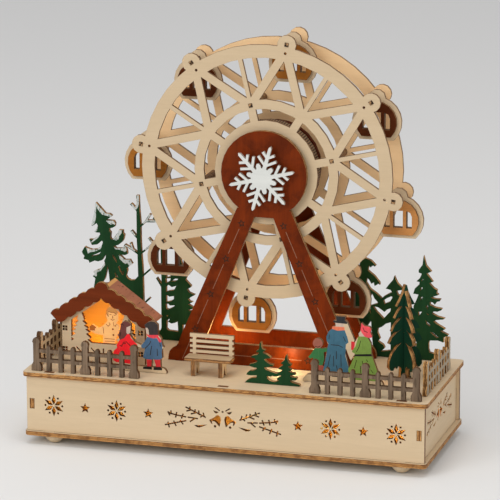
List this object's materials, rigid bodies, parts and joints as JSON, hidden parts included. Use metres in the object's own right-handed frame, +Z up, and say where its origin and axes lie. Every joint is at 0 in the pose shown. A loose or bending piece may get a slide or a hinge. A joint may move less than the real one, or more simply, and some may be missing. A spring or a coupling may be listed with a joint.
{
  "type": "light-up wooden ferris wheel",
  "caption": "Light-up table decoration of laser-cut plywood: a ferris wheel with hanging gondolas on a lit base box, with a stall, fences, bench, firs and flat figures.",
  "frame": {"origin": "bottom centre of the base, on the plane that its feet stand on", "axes": "+X along the base to the right seen from the front, +Y from the front to the back, +Z up"},
  "size_m": [0.38, 0.148, 0.3779],
  "materials": {
    "pale_plywood": "pale plywood, laser cut, unsealed",
    "red_brown_stain": "plywood with a red brown stain",
    "orange_brown_stain": "plywood with an orange brown stain",
    "dark_brown_stain": "plywood with a dark brown stain",
    "mauve_brown_stain": "wood with a mauve brown stain",
    "grey_stain": "plywood with a grey brown stain",
    "dark_green_paint": "plywood painted dark green",
    "white_paint": "plywood painted white",
    "black_plastic": "matte black",
    "warm_lamp": "warm white lamp cap",
    "foot_finish": "half ball of pale wood"
  },
  "bodies": {
    "base": {"a_frame_back": "red_brown_stain", "a_frame_front": "red_brown_stain", "back_wall": "pale_plywood", "battery_cover": "black_plastic", "bench_back": "pale_plywood", "bench_leg_left": "pale_plywood", "bench_leg_right": "pale_plywood", "bench_seat": "pale_plywood", "bottom_board": "pale_plywood", "children": "pale_plywood", "end_wall_left": "pale_plywood", "end_wall_right": "pale_plywood", "family": "pale_plywood", "fence_end_left": "grey_stain", "fence_end_right": "grey_stain", "fence_front_left": "grey_stain", "fence_front_right": "grey_stain", "fir_big_a": "dark_green_paint", "fir_big_b": "dark_green_paint", "firs_small": "dark_green_paint", "foot_1": "foot_finish", "foot_2": "foot_finish", "foot_3": "foot_finish", "foot_4": "foot_finish", "front_wall": "pale_plywood", "hut_back": "pale_plywood", "hut_bargeboard": "red_brown_stain", "hut_front": "pale_plywood", "hut_roof_left": "mauve_brown_stain", "hut_roof_right": "mauve_brown_stain", "hut_seller": "pale_plywood", "hut_side_left": "pale_plywood", "hut_side_right": "pale_plywood", "lamp_hut": "warm_lamp", "lamp_wheel": "warm_lamp", "power_box": "black_plastic", "snowflake": "white_paint", "top_board": "pale_plywood", "trees_left": "dark_green_paint", "trees_right": "dark_green_paint"},
    "wheel": {"hub": "pale_plywood", "wheel_disc_front": "pale_plywood", "wheel_disc_back": "pale_plywood"},
    "switch_slider": {"switch_slider": "black_plastic"},
    "gondola_1": {"gondola_1": "pale_plywood", "gondola_panel_1": "orange_brown_stain"},
    "gondola_2": {"gondola_2": "pale_plywood", "gondola_panel_2": "dark_brown_stain"},
    "gondola_3": {"gondola_3": "pale_plywood", "gondola_panel_3": "orange_brown_stain"},
    "gondola_4": {"gondola_4": "pale_plywood", "gondola_panel_4": "dark_brown_stain"},
    "gondola_5": {"gondola_5": "pale_plywood", "gondola_panel_5": "orange_brown_stain"},
    "gondola_6": {"gondola_6": "pale_plywood", "gondola_panel_6": "dark_brown_stain"},
    "gondola_7": {"gondola_7": "pale_plywood", "gondola_panel_7": "orange_brown_stain"},
    "gondola_8": {"gondola_8": "pale_plywood", "gondola_panel_8": "dark_brown_stain"}
  },
  "joints": [
    {"name": "wheel_spin", "type": "hinge", "parent": "base", "child": "wheel", "pos_m": [0.0188, 0, 0.2504], "axis": [0, 1, 0], "continuous": true},
    {"name": "switch_slide", "type": "slide", "parent": "base", "child": "switch_slider", "axis": [1, 0, 0], "range_m": [-0.002, 0.002]},
    {"name": "gondola_swing_1", "type": "hinge", "parent": "wheel", "child": "gondola_1", "pos_m": [0.03818, 0, 0.36913], "axis": [0, 1, 0], "continuous": true},
    {"name": "gondola_swing_2", "type": "hinge", "parent": "wheel", "child": "gondola_2", "pos_m": [0.11646, 0, 0.32065], "axis": [0, 1, 0], "continuous": true},
    {"name": "gondola_swing_3", "type": "hinge", "parent": "wheel", "child": "gondola_3", "pos_m": [0.13753, 0, 0.23102], "axis": [0, 1, 0], "continuous": true},
    {"name": "gondola_swing_4", "type": "hinge", "parent": "wheel", "child": "gondola_4", "pos_m": [0.08905, 0, 0.15274], "axis": [0, 1, 0], "continuous": true},
    {"name": "gondola_swing_5", "type": "hinge", "parent": "wheel", "child": "gondola_5", "pos_m": [-0.00058, 0, 0.13167], "axis": [0, 1, 0], "continuous": true},
    {"name": "gondola_swing_6", "type": "hinge", "parent": "wheel", "child": "gondola_6", "pos_m": [-0.07886, 0, 0.18015], "axis": [0, 1, 0], "continuous": true},
    {"name": "gondola_swing_7", "type": "hinge", "parent": "wheel", "child": "gondola_7", "pos_m": [-0.09993, 0, 0.26978], "axis": [0, 1, 0], "continuous": true},
    {"name": "gondola_swing_8", "type": "hinge", "parent": "wheel", "child": "gondola_8", "pos_m": [-0.05145, 0, 0.34806], "axis": [0, 1, 0], "continuous": true}
  ],
  "couplings": [
    {"joint": "gondola_swing_1", "follows": "wheel_spin", "ratio": -1},
    {"joint": "gondola_swing_2", "follows": "wheel_spin", "ratio": -1},
    {"joint": "gondola_swing_3", "follows": "wheel_spin", "ratio": -1},
    {"joint": "gondola_swing_4", "follows": "wheel_spin", "ratio": -1},
    {"joint": "gondola_swing_5", "follows": "wheel_spin", "ratio": -1},
    {"joint": "gondola_swing_6", "follows": "wheel_spin", "ratio": -1},
    {"joint": "gondola_swing_7", "follows": "wheel_spin", "ratio": -1},
    {"joint": "gondola_swing_8", "follows": "wheel_spin", "ratio": -1}
  ]
}
